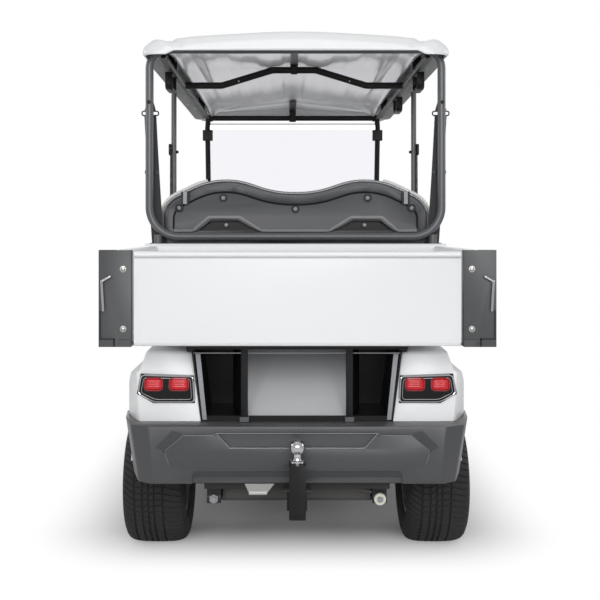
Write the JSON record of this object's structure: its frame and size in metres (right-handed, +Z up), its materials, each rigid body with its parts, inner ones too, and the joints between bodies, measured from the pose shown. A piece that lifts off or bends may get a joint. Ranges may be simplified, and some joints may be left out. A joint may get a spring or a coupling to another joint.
{
  "type": "golf cart",
  "caption": "Golf cart with front and rear bench seats, a canopy roof on tubular struts, windshield, bag well, small cargo box with drop gate, and a tow ball.",
  "frame": {"origin": "on the ground under the middle of the whole cart's length and width", "axes": "+X to the cart's right, +Y forward along its length, +Z up"},
  "size_m": [1.19, 3.377, 1.88],
  "materials": {
    "tyre": "matte moulded rubber",
    "rim": "machined and lacquered",
    "frame_steel": "satin black coating",
    "axle_iron": "dull black paint over castings",
    "white_panel": "glossy moulded white",
    "white_metal": "white powder coat",
    "black_steel": "satin black powder coat",
    "grey_tube": "satin dark grey powder coat",
    "charcoal_plastic": "fine moulded grain",
    "well_plastic": "smooth moulded black",
    "floor_rubber": "ribbed mat",
    "helm_plastic": "soft touch grip",
    "battery_case": "moulded case",
    "seat_vinyl": "light upholstery vinyl",
    "webbing": "woven strap",
    "lamp_bezel": "bright rimmed dark housing",
    "headlamp_glass": "clear lens over a reflector",
    "red_lens": "clear red lens",
    "bright_chrome": "bright chrome",
    "clear_pane": "clear tinted pane"
  },
  "bodies": {
    "chassis": {"chassis_frame": "frame_steel", "rear_axle": "axle_iron", "leaf_springs": "frame_steel", "shock_absorbers": "axle_iron", "drive_motor": "axle_iron", "front_axle": "axle_iron", "steering_column": "frame_steel", "floor_panel": "floor_rubber", "sill_panels": "charcoal_plastic", "front_seat_base": "charcoal_plastic", "battery_pack": "battery_case", "front_cowl": "white_panel", "dashboard": "charcoal_plastic", "front_bumper": "charcoal_plastic", "headlamps": "headlamp_glass", "rear_body": "white_panel", "bag_well": "well_plastic", "rear_bumper": "charcoal_plastic", "tail_lamps": "lamp_bezel", "tail_lamp_lenses": "red_lens", "hitch_bar": "black_steel", "hitch_ball": "bright_chrome", "cargo_box": "white_metal", "tailgate_end_plates": "black_steel", "latch_rods": "bright_chrome", "box_supports": "black_steel", "rear_seat_shell": "charcoal_plastic", "front_seat_shell": "charcoal_plastic", "rear_backrest": "seat_vinyl", "front_backrest": "seat_vinyl", "rear_seat_cushion": "seat_vinyl", "arm_rests": "charcoal_plastic", "roof_panel": "white_panel", "roof_frame": "black_steel", "rear_hoop": "grey_tube", "middle_struts": "grey_tube", "front_struts": "grey_tube", "windshield": "clear_pane", "seat_belts": "webbing", "grab_handles": "black_steel", "pedals": "frame_steel"},
    "wheel_rear_left": {"tyre_rear_left": "tyre", "rim_rear_left": "rim"},
    "wheel_rear_right": {"tyre_rear_right": "tyre", "rim_rear_right": "rim"},
    "wheel_front_left": {"tyre_front_left": "tyre", "rim_front_left": "rim"},
    "wheel_front_right": {"tyre_front_right": "tyre", "rim_front_right": "rim"},
    "knuckle_left": {"knuckle_left": "axle_iron"},
    "knuckle_right": {"knuckle_right": "axle_iron"},
    "tie_rod": {"tie_rod": "axle_iron"},
    "steering_wheel": {"steering_wheel": "helm_plastic"},
    "tailgate": {"tailgate_panel": "white_metal"},
    "front_bench": {"front_seat_cushion": "seat_vinyl"}
  },
  "joints": [
    {"name": "rear_left_roll", "type": "hinge", "parent": "chassis", "child": "wheel_rear_left", "pos_m": [-0.487, -1.0915, 0.2285], "axis": [-1, 0, 0], "continuous": true},
    {"name": "rear_right_roll", "type": "hinge", "parent": "chassis", "child": "wheel_rear_right", "pos_m": [0.487, -1.0915, 0.2285], "axis": [-1, 0, 0], "continuous": true},
    {"name": "steer_left", "type": "hinge", "parent": "chassis", "child": "knuckle_left", "pos_m": [-0.32, 1.2385, 0.2285], "axis": [0, 0, 1], "range_deg": [-26, 26]},
    {"name": "steer_right", "type": "hinge", "parent": "chassis", "child": "knuckle_right", "pos_m": [0.32, 1.2385, 0.2285], "axis": [0, 0, 1], "range_deg": [-26, 26]},
    {"name": "front_left_roll", "type": "hinge", "parent": "knuckle_left", "child": "wheel_front_left", "pos_m": [-0.45, 1.2385, 0.2285], "axis": [-1, 0, 0], "continuous": true},
    {"name": "front_right_roll", "type": "hinge", "parent": "knuckle_right", "child": "wheel_front_right", "pos_m": [0.45, 1.2385, 0.2285], "axis": [-1, 0, 0], "continuous": true},
    {"name": "tie_rod_pivot", "type": "hinge", "parent": "knuckle_left", "child": "tie_rod", "pos_m": [-0.32, 1.1285, 0.1725], "axis": [0, 0, 1], "range_deg": [-26, 26]},
    {"name": "steering_wheel_turn", "type": "hinge", "parent": "chassis", "child": "steering_wheel", "pos_m": [-0.27, 0.8085, 0.985], "axis": [0, -0.5736, 0.8192], "range_deg": [-234, 234]},
    {"name": "tailgate_hinge", "type": "hinge", "parent": "chassis", "child": "tailgate", "pos_m": [0, -1.658, 0.778], "axis": [1, 0, 0], "range_deg": [0, 90]},
    {"name": "front_bench_lift", "type": "hinge", "parent": "chassis", "child": "front_bench", "pos_m": [0, 0.4735, 0.6403], "axis": [-1, 0, 0], "range_deg": [0, 80]}
  ],
  "couplings": [
    {"joint": "steer_right", "follows": "steer_left", "ratio": 1},
    {"joint": "tie_rod_pivot", "follows": "steer_left", "ratio": -1},
    {"joint": "steering_wheel_turn", "follows": "steer_left", "ratio": 9}
  ]
}
